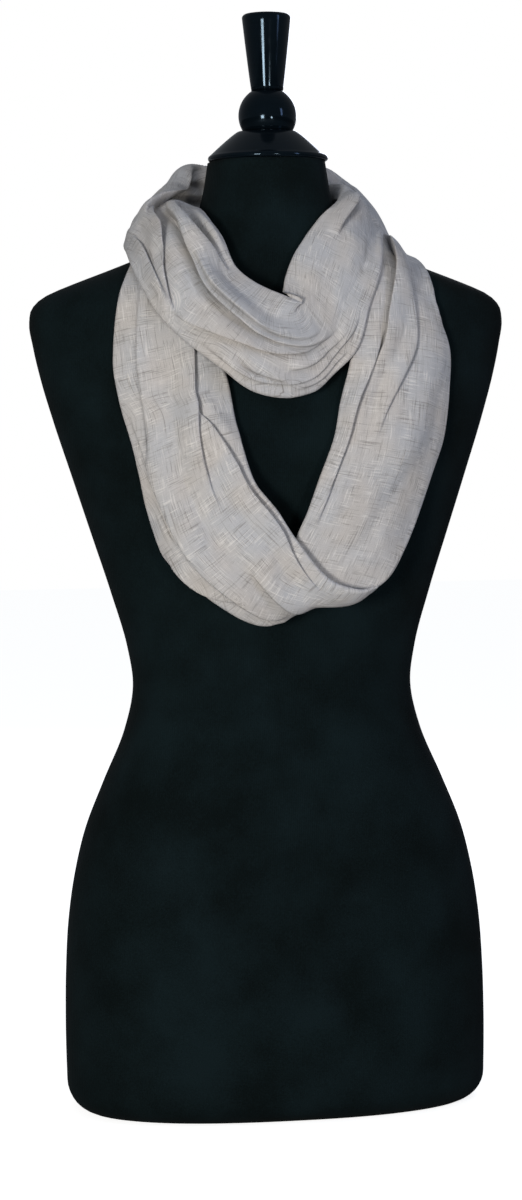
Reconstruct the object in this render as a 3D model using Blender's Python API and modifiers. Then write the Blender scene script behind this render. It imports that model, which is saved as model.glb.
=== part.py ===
import math
from collections import namedtuple

import bpy
import numpy as np
from mathutils.bvhtree import BVHTree

# Every size below is in millimetres, and becomes metres when its mesh is made
MM = 0.001

# The form faces -Y, so the wearer's right is -X
SEAM_GAP = 0.3
CLOTH_WALL = 1.2
HEM_RADIUS = 2.5
NECK_CENTRE_Y = -15.0
NECK_TOP = 819.0

# Horizontal outlines of the dress form, from the underside up
Ring = namedtuple("Ring", "height half_width front back")
FORM_RINGS = (
    Ring(0, 183, 103, 113),
    Ring(75, 184, 106, 122),
    Ring(120, 183, 106, 125),
    Ring(165, 180, 104, 124),
    Ring(205, 174, 102, 117),
    Ring(245, 164, 100, 107),
    Ring(285, 148, 96, 95),
    Ring(330, 129, 89, 82),
    Ring(370, 121, 84, 75),
    Ring(400, 125, 83, 74),
    Ring(450, 139, 86, 80),
    Ring(500, 155, 93, 87),
    Ring(550, 171, 101, 93),
    Ring(600, 187, 103, 97),
    Ring(635, 197, 99, 97),
    Ring(662, 203, 93, 95),
    Ring(684, 206, 86, 92),
    Ring(696, 203, 82, 89),
    Ring(705, 193, 79, 86),
    Ring(715, 170, 76, 82),
    Ring(724, 146, 74, 78),
    Ring(732, 125, 72, 73),
    Ring(741, 103, 70, 67),
    Ring(751, 83, 68, 59),
    Ring(762, 68, 66, 50),
    Ring(774, 60, 65, 43),
    Ring(788, 55.5, 65, 39),
    Ring(803, 52.5, 65, 37),
    Ring(NECK_TOP, 50, 65, 35),
)
FORM_SEGMENTS = 34
FORM_SQUARENESS = 2.4
BASE_ROUNDING = 24.0
BASE_ROUNDING_STEPS = 4
BUST_HEIGHT = 570.0
BUST_APART = 88.0
BUST_DEPTH = 26.0
BUST_WIDTH_SPREAD = 42.0
BUST_HEIGHT_SPREAD = 48.0

# Turned pieces on the neck, as heights and radii
DISC_RADIUS = 51.0
DISC_RIM = 5.0
DISC_TOP = 844.3
DISC_TOP_RADIUS = 26.0
BALL_CENTRE = 858.0
BALL_RADIUS = 25.0
BALL_TOP = 879.0
FINIAL_TOP = 945.0
FINIAL_FOOT_RADIUS = 13.6
FINIAL_HEAD_RADIUS = 21.0
FINIAL_EDGE = 3.5
TURNED_STEPS = 26

# Sections across the scarf, numbered along the loop. The inner edge is the one next
# to the neck or the opening. The crown is how far the middle bellies out.
Section = namedtuple(
    "Section", "number inner_x inner_y inner_z outer_x outer_y outer_z crown"
)
LOOP = (
    Section(0, 70, -134, 461, 67, -112, 457, 6),
    Section(1, 50, -139, 455, 46, -108, 446, 9),
    Section(2, 27, -140, 463, 20, -108, 438, 10),
    Section(3, 2, -136, 493, -18, -116, 423, 8),
    Section(4, -14, -134, 519, -58, -122, 438, 10),
    Section(5, -33, -129, 544, -100, -112, 476, 12),
    Section(6, -41, -122, 567, -117, -97, 520, 14),
    Section(7, -48, -118, 596, -126, -95, 567, 15),
    Section(8, -54, -111, 632, -140, -84, 633, 10),
    Section(9, -62, -101, 664, -141, -80, 666, 8),
    Section(10, -68, -88, 700, -134, -70, 704, 6),
    Section(11, -72, -68, 735, -121, -44, 731, 6),
    Section(12, -73, -32, 766, -118, -8, 745, 6),
    Section(13, -69, 4, 780, -113, 20, 747, 6),
    Section(14, -58, 22, 790, -88, 44, 748, 4),
    Section(15, -33, 38, 802, -50, 66, 750, 3),
    Section(16, 0, 46, 806, 0, 74, 750, 3),
    Section(17, 33, 38, 806, 52, 66, 752, 4),
    Section(18, 54, 20, 805, 84, 38, 754, 9),
    Section(19, 60, 2, 803, 95, 8, 753, 13),
    Section(20, 60, -24, 788, 93, -14, 751, 12),
    Section(21, 45, -58, 775, 88, -46, 744, 11),
    Section(22, 28, -74, 757, 80, -76, 713, 10),
    Section(23, 13, -88, 736, 67, -91, 685, 10),
    Section(24, 5, -98, 718, 54, -102, 660, 10),
    Section(25, 1, -107, 706, 40, -113, 639, 10),
    Section(26, -3, -112, 700, 20, -124, 621, 9),
    Section(27, -10, -113, 700, -6, -131, 614, 9),
    Section(28, -17, -110, 704, -34, -133, 621, 9),
    Section(29, -27, -105, 710, -62, -129, 644, 10),
    Section(30, -42, -94, 724, -99, -108, 679, 11),
    Section(31, -52, -77, 749, -114, -90, 704, 11),
    Section(32, -59, -58, 765, -125, -54, 736, 12),
    Section(33, -61, -32, 782, -125, -10, 750, 16),
    Section(34, -61, -2, 801, -118, 22, 746, 19),
    Section(35, -57, 26, 818, -102, 58, 742, 17),
    Section(36, -41, 50, 827, -60, 84, 738, 11),
    Section(37, 0, 61, 822, 0, 96, 738, 9),
    Section(38, 36, 50, 814, 60, 84, 739, 9),
    Section(39, 74, 34, 798, 106, 58, 738, 9),
    Section(40, 102, 4, 772, 133, 20, 742, 6),
    Section(41, 96, -50, 757, 137, -26, 731, 8),
    Section(42, 80, -93, 715, 140, -68, 706, 8),
    Section(43, 66, -108, 680, 142, -79, 682, 9),
    Section(44, 55, -113, 647, 142, -84, 651, 10),
    Section(45, 45, -117, 612, 140, -87, 614, 13),
    Section(46, 38, -121, 582, 134, -93, 579, 14),
    Section(47, 25, -125, 549, 122, -97, 547, 13),
    Section(48, 14, -127, 519, 102, -105, 498, 9),
    Section(49, 6, -125, 500, 82, -117, 468, 4),
    Section(50, -2, -124, 478, 58, -122, 450, 2),
)

# The stretches that show, each from one seam to the next
Stretch = namedtuple("Stretch", "node first last")
STRETCHES = (
    Stretch("scarf_drop_right", 0, 13),
    Stretch("scarf_nape_inner", 13, 18.5),
    Stretch("scarf_cowl", 18.5, 33.5),
    Stretch("scarf_nape_outer", 33.5, 39.5),
    Stretch("scarf_drop_left", 39.5, 50),
)

# Where the scarf lies over itself: sections of the upper layer, then of the lower
Overlap = namedtuple("Overlap", "upper_from upper_to lower_from lower_to")
OVERLAPS = (
    Overlap(28, 35.5, 6, 13.2),
    Overlap(34, 40.5, 12, 20),
    Overlap(39, 45, 18.5, 25),
)

# Creases divide the width into pleats. Each row holds, at one section of the loop,
# the creases as shares of the width, then each pleat's height and its lean, which
# is above 0 where the pleat leans over the crease on its outer side.
Gather = namedtuple("Gather", "section creases heights leans")
GATHERS = (
    Gather(0, (0.20, 0.40, 0.60, 0.80), (0, 0, 0, 0, 0), (0, 0, 0, 0, 0)),
    Gather(3, (0.12, 0.38, 0.74, 0.88), (2.5, 4, 5, 4, 2.5), (0.3, 0.7, 0.6, 0.5, 0)),
    Gather(5, (0.11, 0.32, 0.71, 0.87), (2.5, 4, 5, 4, 2.5), (0.3, 0.7, 0.6, 0.5, 0)),
    Gather(7, (0.19, 0.40, 0.76, 0.89), (3, 5, 5, 4, 2.5), (0.5, 0.7, 0.6, 0.5, 0)),
    Gather(9, (0.13, 0.28, 0.70, 0.86), (2.5, 4, 5, 4, 2.5), (0.4, 0.7, 0.6, 0.5, 0)),
    Gather(12, (0.22, 0.44, 0.64, 0.82), (4, 4.5, 4.5, 4.5, 3), (0.5, 0.6, 0.6, 0.6, 0)),
    Gather(16, (0.20, 0.40, 0.60, 0.80), (3, 3.5, 3.5, 3.5, 3), (0.5, 0.5, 0.5, 0.5, 0)),
    Gather(19, (0.22, 0.42, 0.62, 0.82), (4, 5, 5, 5, 4), (0.4, 0.4, 0.4, 0.4, 0)),
    Gather(22, (0.24, 0.46, 0.66, 0.84), (3, 5, 4, 4.5, 4), (0.4, 0.5, 0.5, 0.5, 0)),
    Gather(25, (0.38, 0.52, 0.68, 0.84), (2.5, 3, 5, 4, 3), (0.2, 0.5, 0.6, 0.5, 0)),
    Gather(27, (0.37, 0.49, 0.64, 0.80), (4, 3.5, 5, 4.5, 3.5), (0.7, 0.5, 0.6, 0.6, 0)),
    Gather(29, (0.32, 0.43, 0.69, 0.85), (6, 3, 6, 5, 3), (0.7, 0.5, 0.7, 0.5, 0)),
    Gather(31, (0.28, 0.38, 0.72, 0.86), (6, 3, 6, 5, 3), (0.7, 0.3, 0.3, 0.3, 0)),
    Gather(33, (0.22, 0.32, 0.48, 0.82), (5, 2.5, 3, 8, 4), (0.5, 0, -0.4, -0.8, 0)),
    Gather(34, (0.14, 0.27, 0.43, 0.86), (2.5, 2.5, 2.5, 11, 3), (0, 0, -0.7, -1.0, 0)),
    Gather(35, (0.13, 0.25, 0.40, 0.84), (2.5, 2.5, 2.5, 11, 3), (0, 0, -0.7, -1.0, 0)),
    Gather(36, (0.15, 0.30, 0.46, 0.84), (3, 3, 3.5, 9, 3.5), (0, 0, -0.3, -0.5, 0)),
    Gather(37, (0.18, 0.37, 0.56, 0.83), (4, 4.5, 5, 6, 4), (0, 0.5, 0.4, 0.2, 0)),
    Gather(39, (0.20, 0.42, 0.62, 0.82), (4, 5, 5, 5, 4), (0, 0.6, 0.6, 0.6, 0)),
    Gather(41, (0.36, 0.56, 0.72, 0.86), (6, 4.5, 4.5, 3.5, 3), (0.6, 0.6, 0.6, 0.4, 0)),
    Gather(43, (0.29, 0.48, 0.68, 0.84), (6, 4.5, 4.5, 3.5, 3), (0.7, 0.5, 0.6, 0.4, 0)),
    Gather(45, (0.19, 0.42, 0.62, 0.82), (5, 5.5, 4, 3.5, 3), (0.6, 0.7, 0.5, 0.4, 0)),
    Gather(47, (0.16, 0.38, 0.60, 0.82), (4, 5, 4, 3.5, 2.5), (0.5, 0.7, 0.5, 0.3, 0)),
    Gather(50, (0.20, 0.40, 0.60, 0.80), (1, 1, 1, 1, 1), (0, 0.3, 0.3, 0.3, 0)),
)

# A pleat's rise is a sine of its share to the power of its fullness
PLEAT_FULLNESS = 0.75
PLEAT_SHARES = (0.0, 0.16, 0.5, 0.84)
HEM_ANGLES = (70.0, 150.0)
STATIONS_PER_SECTION = 2

# How far the cloth lies off the form and off the layer under it, and how many
# rounds of small moves settle it there
FORM_GAP = 1.0
CLOTH_GAP = 0.9
SETTLING_ROUNDS = 6
EVENING_ROUNDS = 2

# The V folds over itself at the neckline, around one section: how far it reaches
# along the loop, how far it is drawn sideways and how deep, over what share of the
# width, and by what share the hem's roll opens out there
NECKLINE_FOLD_SECTION = 25.6
NECKLINE_FOLD_REACH = 2.4
NECKLINE_FOLD_OVERLAP = 13.0
NECKLINE_FOLD_DEPTH = 9.0
NECKLINE_FOLD_WIDTH = 0.38
HEM_FLATTENED = 0.7


# A smooth curve through rows of values that stand at the given knots
def smooth_rows(knots, rows, at):
    knots = np.asarray(knots, float)
    rows = np.asarray(rows, float)
    steps = np.diff(knots)[:, None]
    slopes = np.diff(rows, axis=0) / steps
    before, after = steps[:-1], steps[1:]
    inside = (slopes[:-1] * after + slopes[1:] * before) / (before + after)
    tangents = np.vstack([slopes[:1], inside, slopes[-1:]])
    at = np.clip(np.asarray(at, float), knots[0], knots[-1])
    low = np.clip(np.searchsorted(knots, at, side="right") - 1, 0, len(knots) - 2)
    step = steps[low]
    share = ((at - knots[low])[:, None]) / step
    square, cube = share**2, share**3
    return (
        (2 * cube - 3 * square + 1) * rows[low]
        + (cube - 2 * square + share) * step * tangents[low]
        + (3 * square - 2 * cube) * rows[low + 1]
        + (cube - square) * step * tangents[low + 1]
    )


def unit(vectors):
    return vectors / np.maximum(np.linalg.norm(vectors, axis=-1, keepdims=True), 1e-9)


def new_object(name, mesh, material, collection):
    thing = bpy.data.objects.new(name, mesh)
    mesh.materials.append(material)
    collection.objects.link(thing)
    return thing


def mesh_from(name, points, faces):
    mesh = bpy.data.meshes.new(name)
    mesh.from_pydata([tuple(p) for p in points * MM], [], faces)
    mesh.shade_smooth()
    return mesh


# Closed rings joined into one skin, with a flat face at each end
def ring_skin(rings):
    count, around = rings.shape[:2]
    faces = [
        (i * around + j, i * around + (j + 1) % around,
         (i + 1) * around + (j + 1) % around, (i + 1) * around + j)
        for i in range(count - 1)
        for j in range(around)
    ]
    faces.append(tuple(reversed(range(around))))
    faces.append(tuple((count - 1) * around + j for j in range(around)))
    return rings.reshape(-1, 3), faces


def form_rings():
    rounding = np.linspace(0, math.pi / 2, BASE_ROUNDING_STEPS + 1)
    table = np.array([ring[1:] for ring in FORM_RINGS], float)
    heights = [ring.height for ring in FORM_RINGS]
    middles = [(a + b) / 2 for a, b in zip(heights[1:], heights[2:]) if b - a > 36]
    levels = sorted(middles + heights[1:])
    round_levels = BASE_ROUNDING * (1 - np.cos(rounding))
    levels = list(round_levels) + levels
    insets = list(BASE_ROUNDING * (1 - np.sin(rounding))) + [0.0] * len(levels)
    sizes = smooth_rows(heights, table, levels)
    turn = np.linspace(0, 2 * math.pi, FORM_SEGMENTS, endpoint=False)
    across = np.sign(np.cos(turn)) * np.abs(np.cos(turn)) ** (2 / FORM_SQUARENESS)
    along = np.sign(np.sin(turn)) * np.abs(np.sin(turn)) ** (2 / FORM_SQUARENESS)
    rings = []
    for height, (half_width, front, back), inset in zip(levels, sizes, insets):
        x = across * (half_width - inset)
        y = along * np.where(along < 0, front - inset, back - inset)
        from_apex = ((np.abs(x) - BUST_APART) / BUST_WIDTH_SPREAD) ** 2
        from_apex += ((height - BUST_HEIGHT) / BUST_HEIGHT_SPREAD) ** 2
        y -= BUST_DEPTH * np.exp(-from_apex) * np.maximum(0, -along)
        rings.append(np.stack([x, y, np.full_like(x, height)], axis=1))
    return np.array(rings)


# A turned piece: its profile runs from the axis at the top, down its outer side
def turned_piece(name, profile, material, collection):
    mesh = bpy.data.meshes.new(name)
    points = [(radius * MM, 0.0, height * MM) for radius, height in profile]
    mesh.from_pydata(points, [(i, i + 1) for i in range(len(points) - 1)], [])
    piece = new_object(name, mesh, material, collection)
    piece.location = (0.0, NECK_CENTRE_Y * MM, 0.0)
    screw = piece.modifiers.new("Turn", "SCREW")
    screw.steps = TURNED_STEPS
    screw.render_steps = TURNED_STEPS
    screw.use_merge_vertices = True
    screw.merge_threshold = 0.00001
    screw.use_smooth_shade = True
    return piece


def disc_profile():
    foot = NECK_TOP + SEAM_GAP
    rim_top = foot + DISC_RIM
    slope = [
        (
            DISC_TOP_RADIUS + (DISC_RADIUS - DISC_TOP_RADIUS) * share,
            DISC_TOP - (DISC_TOP - rim_top) * share ** 1.35,
        )
        for share in np.linspace(0, 1, 7)
    ]
    return [(0, DISC_TOP)] + slope + [
        (DISC_RADIUS + 0.6, rim_top - 1.6),
        (DISC_RADIUS - 0.2, foot + 1.0),
        (DISC_RADIUS - 1.6, foot),
        (0, foot),
    ]


def ball_profile():
    foot = DISC_TOP + SEAM_GAP
    high = math.asin((BALL_TOP - BALL_CENTRE) / BALL_RADIUS)
    low = math.asin((foot - BALL_CENTRE) / BALL_RADIUS)
    arc = [
        (BALL_RADIUS * math.cos(a), BALL_CENTRE + BALL_RADIUS * math.sin(a))
        for a in np.linspace(high, low, 11)
    ]
    return [(0, BALL_TOP)] + arc + [(0, foot)]


def finial_profile():
    foot = BALL_TOP + SEAM_GAP
    edge = [
        (
            FINIAL_HEAD_RADIUS - FINIAL_EDGE * (1 - math.sin(a)),
            FINIAL_TOP - 1.0 - FINIAL_EDGE * (1 - math.cos(a)),
        )
        for a in np.linspace(0.2, math.pi / 2, 4)
    ]
    top = edge[-1][1]
    side = [
        (
            FINIAL_FOOT_RADIUS + (FINIAL_HEAD_RADIUS - FINIAL_FOOT_RADIUS) * (1 - share) ** 0.9,
            top - (top - foot) * share,
        )
        for share in (0.33, 0.66, 1.0)
    ]
    return [(0, FINIAL_TOP)] + edge + side + [(0, foot)]


# What the cloth rests on, as a search tree whose faces point outwards
def tree_of(points, faces):
    return BVHTree.FromPolygons([tuple(p) for p in points], faces)


# Two triangles to each cell, cut the same way on both faces of a wall
def grid_faces(rows, columns):
    faces = []
    for i in range(rows - 1):
        for j in range(columns - 1):
            corner = i * columns + j
            beyond = corner + columns
            faces.append((corner, beyond, beyond + 1))
            faces.append((corner, beyond + 1, corner + 1))
    return faces


# How far each point has to move out to lie at the lift above what it rests on
def push_off(grid, tree, lift, reach):
    push = np.zeros_like(grid)
    for place in np.ndindex(grid.shape[:2]):
        near, normal, _, _ = tree.find_nearest(tuple(grid[place]), reach)
        if near is None:
            continue
        short = lift - float(np.dot(grid[place] - np.array(near), normal))
        if short > 0:
            push[place] = np.array(normal) * short
    return push


def evened(field, rounds):
    for _ in range(rounds):
        inner = field.copy()
        inner[1:-1] = (field[:-2] + 2 * field[1:-1] + field[2:]) / 4
        field = inner.copy()
        field[:, 1:-1] = (inner[:, :-2] + 2 * inner[:, 1:-1] + inner[:, 2:]) / 4
    return field


# Knots that spread the sections by the length of cloth between them
def section_knots():
    middles = np.array([[(a + b) / 2 for a, b in zip(s[1:4], s[4:7])] for s in LOOP])
    steps = np.linalg.norm(np.diff(middles, axis=0), axis=1) ** 0.5
    return np.concatenate([[0], np.cumsum(steps)])


def edges_at(rows):
    knots = section_knots()
    at = np.interp(rows, range(len(LOOP)), knots)
    return smooth_rows(knots, [section[1:] for section in LOOP], at)


# The face of the scarf before it is pleated: a grid of stations by shares of width
def base_face(rows, shares):
    edges = edges_at(rows)
    inner, outer, crown = edges[:, 0:3], edges[:, 3:6], edges[:, 6]
    chord = outer - inner
    along = np.gradient((inner + outer) / 2, axis=0)
    outward = unit(np.cross(along, chord))
    belly = (crown[:, None] * 4 * shares * (1 - shares))[..., None]
    return inner[:, None] + chord[:, None] * shares[..., None] + outward[:, None] * belly


def neckline_fold(face, rows, shares):
    offset = (rows - NECKLINE_FOLD_SECTION) / NECKLINE_FOLD_REACH
    sway = (np.tanh(1.8 * offset) * np.exp(-offset ** 2))[:, None]
    pull = sway * np.clip(1 - shares / NECKLINE_FOLD_WIDTH, 0, 1) ** 1.5
    face = face.copy()
    face[..., 0] += NECKLINE_FOLD_OVERLAP * pull
    face[..., 1] -= NECKLINE_FOLD_DEPTH * pull
    return face


# Each column's share of the width, its height above the base face and its drift
# across it, which is what makes a pleat lean over its crease
def pleat_columns(rows):
    knots = [gather.section for gather in GATHERS]
    creases = smooth_rows(knots, [g.creases for g in GATHERS], rows)
    heights = smooth_rows(knots, [g.heights for g in GATHERS], rows)
    leans = smooth_rows(knots, [g.leans for g in GATHERS], rows)
    ends = np.hstack([np.zeros((len(rows), 1)), creases, np.ones((len(rows), 1))])
    shares, rises, drifts = [], [], []
    for pleat in range(heights.shape[1]):
        start = ends[:, pleat]
        width = ends[:, pleat + 1] - start
        for part in PLEAT_SHARES:
            wave = math.sin(math.pi * part) ** PLEAT_FULLNESS
            shares.append(start + width * part)
            rises.append(heights[:, pleat] * wave)
            drifts.append(leans[:, pleat] * width / math.pi * wave)
    shares.append(ends[:, -1])
    rises.append(np.zeros(len(rows)))
    drifts.append(np.zeros(len(rows)))
    return np.array(shares).T, np.array(rises).T, np.array(drifts).T


def pleated(face, rows):
    _, rises, drifts = pleat_columns(rows)
    width = np.linalg.norm(face[:, -1] - face[:, 0], axis=1)[:, None]
    across = unit(np.gradient(face, axis=1))
    outward = unit(np.cross(np.gradient(face, axis=0), across))
    grid = face + outward * rises[..., None] + across * (drifts * width)[..., None]
    columns = [grid[:, j] for j in range(grid.shape[1])]
    near_fold = np.exp(-((rows - NECKLINE_FOLD_SECTION) / NECKLINE_FOLD_REACH) ** 2)
    curl = (1 - HEM_FLATTENED * near_fold)[:, None]
    for angle in HEM_ANGLES:
        inner_turn = math.radians(angle) * curl
        inner_drop = outward[:, 0] * HEM_RADIUS * (1 - np.cos(inner_turn))
        columns.insert(0, grid[:, 0] - across[:, 0] * HEM_RADIUS * np.sin(inner_turn) - inner_drop)
        outer_turn = math.radians(angle)
        outer_drop = outward[:, -1] * HEM_RADIUS * (1 - math.cos(outer_turn))
        columns.append(grid[:, -1] + across[:, -1] * HEM_RADIUS * math.sin(outer_turn) - outer_drop)
    return np.stack(columns, axis=1)


# The whole scarf as one grid, laid on the form and then over itself
def loop_grid(rows, form):
    shares, _, _ = pleat_columns(rows)
    face = neckline_fold(base_face(rows, shares), rows, shares)
    hem_drop = HEM_RADIUS * (1 - math.cos(math.radians(HEM_ANGLES[-1])))
    on_form = hem_drop + CLOTH_WALL / 2 + FORM_GAP
    on_cloth = hem_drop + CLOTH_WALL + CLOTH_GAP
    for _ in range(SETTLING_ROUNDS):
        face = face + evened(push_off(face, form, on_form, 4 * on_form), EVENING_ROUNDS)
    for overlap in OVERLAPS:
        lower = (rows >= overlap.lower_from) & (rows <= overlap.lower_to)
        layer = pleated(face, rows)[lower]
        tree = tree_of(layer.reshape(-1, 3), grid_faces(*layer.shape[:2]))
        upper = np.where((rows >= overlap.upper_from) & (rows <= overlap.upper_to))[0]
        for _ in range(SETTLING_ROUNDS):
            push = np.zeros_like(face)
            push[upper] = push_off(face[upper], tree, on_cloth, 4 * on_cloth)
            face = face + evened(push, EVENING_ROUNDS)
    grid = pleated(face, rows)
    return grid + push_off(grid, form, CLOTH_WALL / 2 + FORM_GAP, 4 * on_form)


# The two faces of the wall, and the way the cloth runs at each station
def wall_faces(grid):
    off_cells = np.cross(grid[1:, 1:] - grid[:-1, :-1], grid[:-1, 1:] - grid[1:, :-1])
    outward = np.zeros_like(grid)
    for row_part in (slice(None, -1), slice(1, None)):
        for column_part in (slice(None, -1), slice(1, None)):
            outward[row_part, column_part] += unit(off_cells)
    half_wall = unit(outward) * CLOTH_WALL / 2
    return grid + half_wall, grid - half_wall, unit(np.gradient(grid, axis=0))


# One stretch as a closed wall, drawn back from each seam by half its gap
def scarf_stretch(name, wall, is_seam, material, collection):
    top, under, along = (face.copy() for face in wall)
    for end, way, seam in ((0, 1, is_seam[0]), (-1, -1, is_seam[1])):
        if seam:
            top[end] += along[end] * way * SEAM_GAP / 2
            under[end] += along[end] * way * SEAM_GAP / 2
    rows, columns = top.shape[:2]
    count = rows * columns
    faces = grid_faces(rows, columns)
    faces += [tuple(count + corner for corner in reversed(face)) for face in faces]
    last_row = (rows - 1) * columns
    rim = list(range(columns))
    rim += [i * columns + columns - 1 for i in range(1, rows)]
    rim += [last_row + j for j in range(columns - 2, -1, -1)]
    rim += [i * columns for i in range(rows - 2, 0, -1)]
    for here, there in zip(rim, rim[1:] + rim[:1]):
        faces.append((here, there, there + count, here + count))
    points = np.concatenate([top.reshape(-1, 3), under.reshape(-1, 3)])
    new_object(name, mesh_from(name, points, faces), material, collection)


def material(name, colour, roughness, metallic=0.0):
    made = bpy.data.materials.new(name)
    made.use_nodes = True
    shader = made.node_tree.nodes["Principled BSDF"]
    shader.inputs["Base Color"].default_value = (*colour, 1.0)
    shader.inputs["Roughness"].default_value = roughness
    shader.inputs["Metallic"].default_value = metallic
    return made


def main():
    for thing in list(bpy.data.objects):
        bpy.data.objects.remove(thing)
    collection = bpy.data.collections.new("Infinity scarf on dress form")
    bpy.context.scene.collection.children.link(collection)
    cloth = material("Slub cloth", (0.42, 0.41, 0.40), 0.85)
    jersey = material("Black jersey", (0.008, 0.012, 0.012), 0.8)
    lacquer = material("Black lacquer", (0.01, 0.012, 0.014), 0.12)

    points, faces = ring_skin(form_rings())
    new_object("dress_form", mesh_from("dress_form", points, faces), jersey, collection)
    turned_piece("cap_disc", disc_profile(), lacquer, collection)
    turned_piece("cap_ball", ball_profile(), lacquer, collection)
    turned_piece("cap_finial", finial_profile(), lacquer, collection)

    form = tree_of(points, faces)
    last = len(LOOP) - 1
    rows = np.linspace(0, last, last * STATIONS_PER_SECTION + 1)
    top, under, along = wall_faces(loop_grid(rows, form))
    for stretch in STRETCHES:
        cut = slice(
            int(stretch.first * STATIONS_PER_SECTION),
            int(stretch.last * STATIONS_PER_SECTION) + 1,
        )
        is_seam = (stretch.first != 0, stretch.last != last)
        wall = top[cut], under[cut], along[cut]
        scarf_stretch(stretch.node, wall, is_seam, cloth, collection)


main()
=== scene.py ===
import math
from collections import namedtuple

import bpy
import numpy as np
from mathutils import Matrix, Vector, noise
from mathutils.bvhtree import BVHTree


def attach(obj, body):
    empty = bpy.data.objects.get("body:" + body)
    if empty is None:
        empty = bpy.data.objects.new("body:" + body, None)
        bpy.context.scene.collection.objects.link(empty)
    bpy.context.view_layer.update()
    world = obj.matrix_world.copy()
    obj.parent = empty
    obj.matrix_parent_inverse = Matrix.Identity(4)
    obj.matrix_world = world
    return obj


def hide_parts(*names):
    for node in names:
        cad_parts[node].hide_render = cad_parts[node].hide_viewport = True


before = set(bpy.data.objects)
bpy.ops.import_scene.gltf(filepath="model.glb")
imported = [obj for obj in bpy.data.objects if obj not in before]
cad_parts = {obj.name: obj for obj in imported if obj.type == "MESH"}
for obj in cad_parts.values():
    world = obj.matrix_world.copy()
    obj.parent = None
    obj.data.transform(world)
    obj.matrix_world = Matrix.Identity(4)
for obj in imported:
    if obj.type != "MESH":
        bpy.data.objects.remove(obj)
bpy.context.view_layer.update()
mm = 0.001  # sizes below are millimetres, meshes are metres


# shared by every piece

def linearColour(hexCode):
    channels = [int(hexCode[i:i + 2], 16) / 255 for i in (1, 3, 5)]
    return [c / 12.92 if c <= 0.04045 else ((c + 0.055) / 1.055) ** 2.4 for c in channels] + [1.0]


def smoothRows(knots, rows, at):
    # a smooth curve through rows of numbers, one row at each knot
    knots = np.asarray(knots, float)
    rows = np.asarray(rows, float)
    steps = np.diff(knots)[:, None]
    slopes = np.diff(rows, axis=0) / steps
    before, after = steps[:-1], steps[1:]
    inside = (slopes[:-1] * after + slopes[1:] * before) / (before + after)
    tangents = np.vstack([slopes[:1], inside, slopes[-1:]])
    at = np.clip(np.asarray(at, float), knots[0], knots[-1])
    low = np.clip(np.searchsorted(knots, at, side="right") - 1, 0, len(knots) - 2)
    step = steps[low]
    share = ((at - knots[low])[:, None]) / step
    square, cube = share**2, share**3
    return (
        (2 * cube - 3 * square + 1) * rows[low]
        + (cube - 2 * square + share) * step * tangents[low]
        + (3 * square - 2 * cube) * rows[low + 1]
        + (cube - square) * step * tangents[low + 1]
    )


def resampled(knots, field, at):
    rows = smoothRows(knots, field.reshape(len(field), -1), at)
    return rows.reshape((len(at),) + field.shape[1:])


def unitOf(vectors):
    return vectors / np.maximum(np.linalg.norm(vectors, axis=-1, keepdims=True), 1e-9)


def eased(share):
    share = np.clip(share, 0, 1)
    return share * share * (3 - 2 * share)


def between(rows, low, high):
    return (rows >= low) & (rows <= high)


def smoothMesh(name, points, faces):
    mesh = bpy.data.meshes.new(name)
    mesh.from_pydata((points * mm).tolist(), [], faces)
    mesh.shade_smooth()
    return mesh


def placePiece(mesh, material, node):
    mesh.materials.append(material)
    thing = bpy.data.objects.new(mesh.name, mesh)
    bpy.context.scene.collection.objects.link(thing)
    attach(thing, "root")
    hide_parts(node)
    return thing


# the dress form, one smooth jersey skin

Ring = namedtuple("Ring", "height halfWidth front back")
dressForm = {
    "rings": (
        Ring(0, 183, 103, 113), Ring(75, 184, 106, 122), Ring(120, 183, 106, 125),
        Ring(165, 180, 104, 124), Ring(205, 174, 102, 117), Ring(245, 164, 100, 107),
        Ring(285, 148, 96, 95), Ring(330, 129, 89, 82), Ring(370, 121, 84, 75),
        Ring(400, 125, 83, 74), Ring(450, 139, 86, 80), Ring(500, 155, 93, 87),
        Ring(550, 171, 101, 93), Ring(600, 187, 103, 97), Ring(635, 197, 99, 97),
        Ring(662, 203, 93, 95), Ring(684, 206, 86, 92), Ring(696, 203, 82, 89),
        Ring(705, 193, 79, 86), Ring(715, 170, 76, 82), Ring(724, 146, 74, 78),
        Ring(732, 125, 72, 73), Ring(741, 103, 70, 67), Ring(751, 83, 68, 59),
        Ring(762, 68, 66, 50), Ring(774, 60, 65, 43), Ring(788, 55.5, 65, 39),
        Ring(803, 52.5, 65, 37), Ring(819, 50, 65, 35),
    ),
    "around": 168, "ringSpacing": 4.5, "baseRings": 10,
    "squareness": 2.4, "baseRounding": 24.0,
    "bustHeight": 570.0, "bustApart": 88.0, "bustDepth": 26.0,
    "bustWidthSpread": 42.0, "bustHeightSpread": 48.0,
}


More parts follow.
